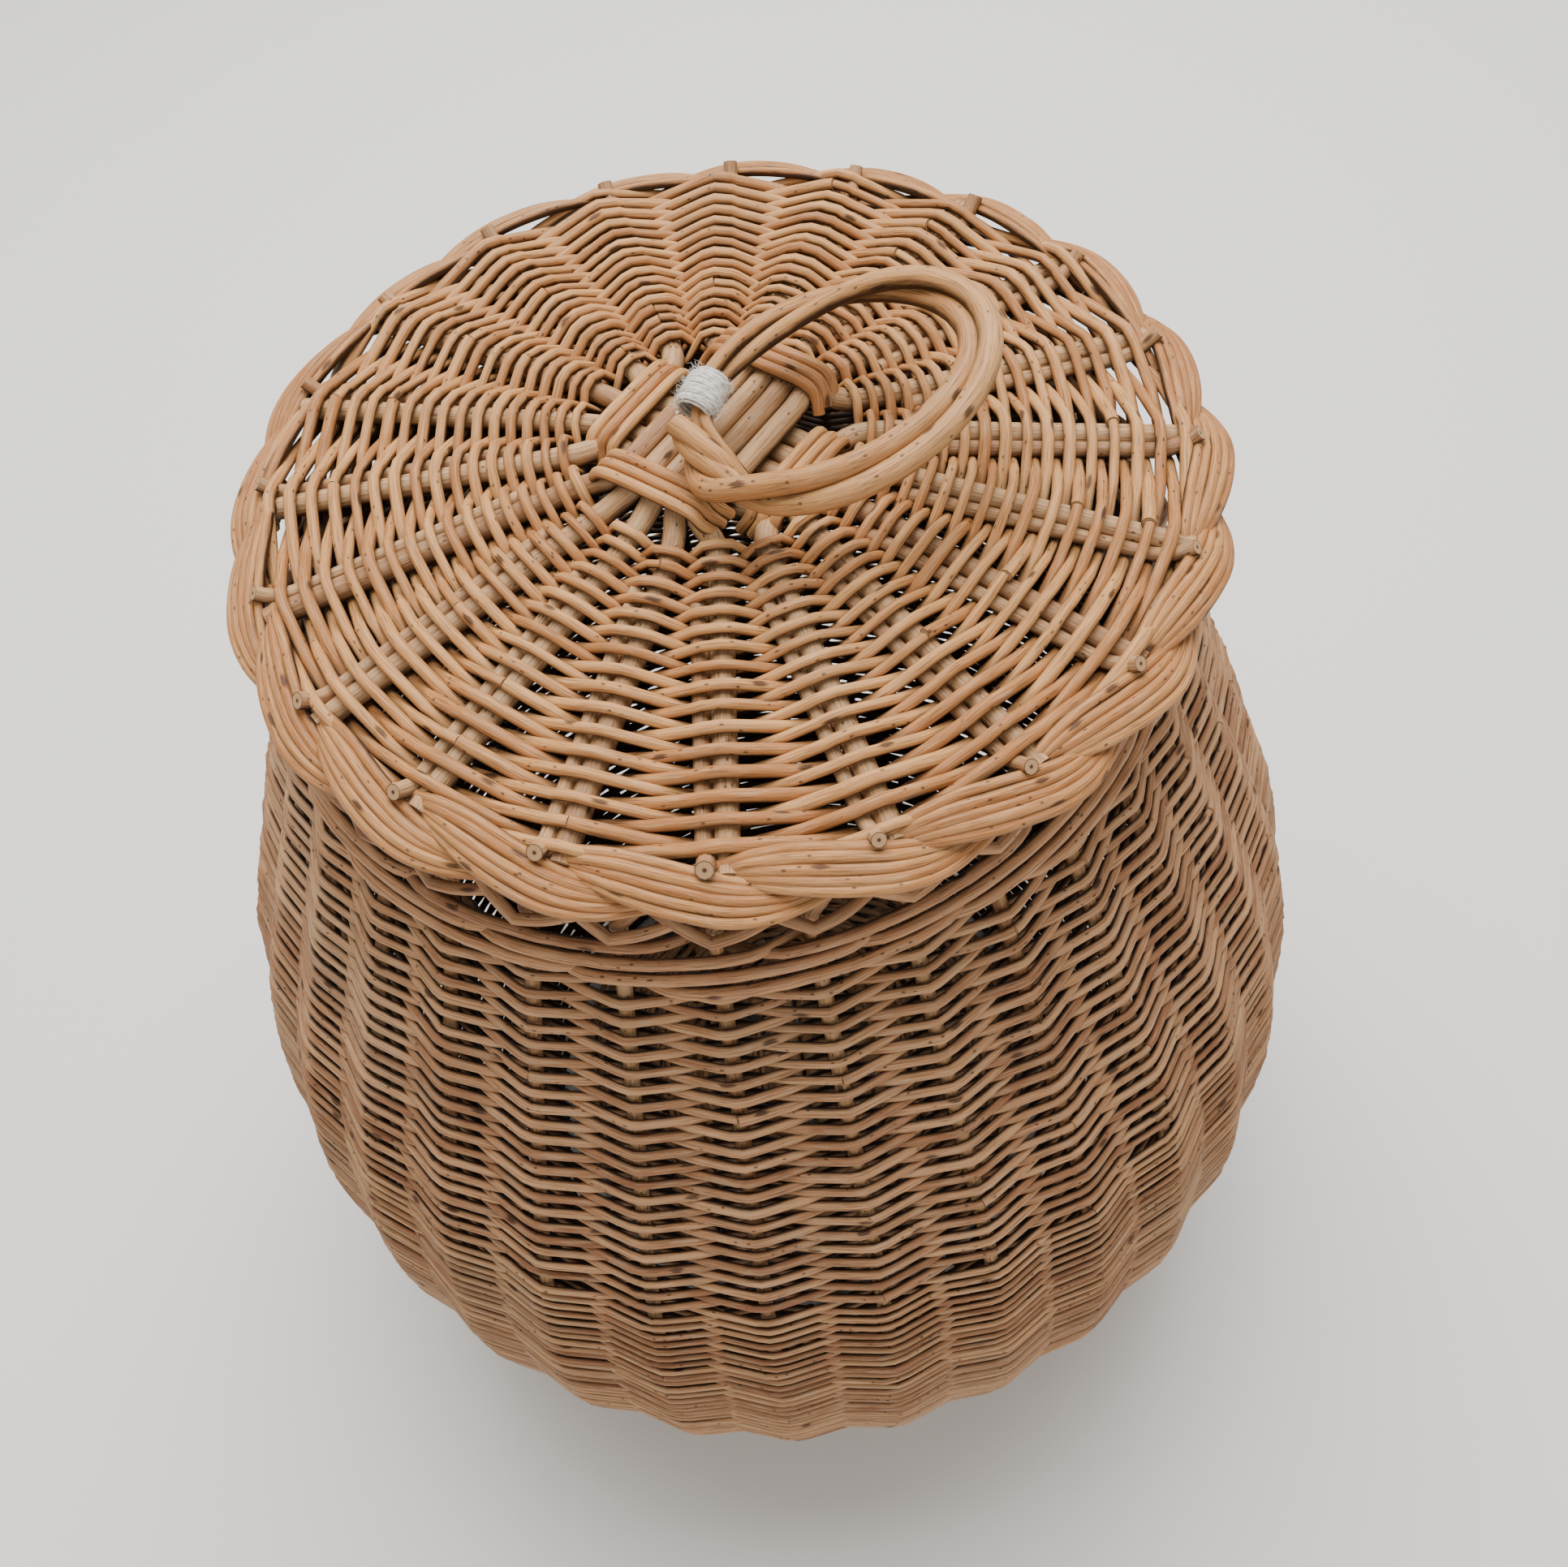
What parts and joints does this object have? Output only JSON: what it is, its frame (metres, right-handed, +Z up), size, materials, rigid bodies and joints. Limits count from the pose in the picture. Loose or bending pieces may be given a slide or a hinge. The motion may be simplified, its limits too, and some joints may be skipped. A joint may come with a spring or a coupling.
{
  "type": "laundry hamper with lid",
  "caption": "Round-bellied woven willow laundry hamper with a loose domed lid and a twisted ring handle.",
  "frame": {"origin": "on the floor under the middle of the foot", "axes": "+Z up along the basket's axis; -Y is the front, and the ring handle leans towards +X"},
  "size_m": [0.53, 0.53, 0.6188],
  "materials": {
    "body_willow": "buff willow rods, weathered, dry satin",
    "rim_willow": "buff willow rods, satin",
    "lid_willow": "buff willow rods, satin",
    "sticks": "thick buff willow sticks, satin",
    "handle_willow": "buff willow rods polished by handling",
    "twine": "undyed cotton twine, fuzzy"
  },
  "bodies": {
    "hamper": {"base_sticks_under": "sticks", "base_sticks_over": "sticks", "base_binding": "body_willow", "base_weave": "body_willow", "foot_wale": "body_willow", "side_stakes": "sticks", "lower_siding_outer": "body_willow", "lower_siding_inner": "body_willow", "upper_siding": "body_willow", "top_wale": "rim_willow", "rim_border": "rim_willow"},
    "lid": {"lid_sticks_under": "sticks", "lid_sticks_over": "sticks", "lid_liners": "sticks", "lid_binding": "lid_willow", "lid_weave_inner": "lid_willow", "lid_weave_outer": "lid_willow", "lid_border": "lid_willow"},
    "handle": {"handle_rod_a": "handle_willow", "handle_rod_b": "handle_willow", "handle_twine": "twine"}
  },
  "joints": [
    {"name": "lid_lift", "type": "slide", "parent": "hamper", "child": "lid", "axis": [0, 0, 1], "range_m": [0, 0.28]},
    {"name": "handle_swing", "type": "hinge", "parent": "lid", "child": "handle", "pos_m": [0.003, -0.0215, 0.5856], "axis": [0.1736, -0.9848, 0], "range_deg": [-4, 146]}
  ]
}
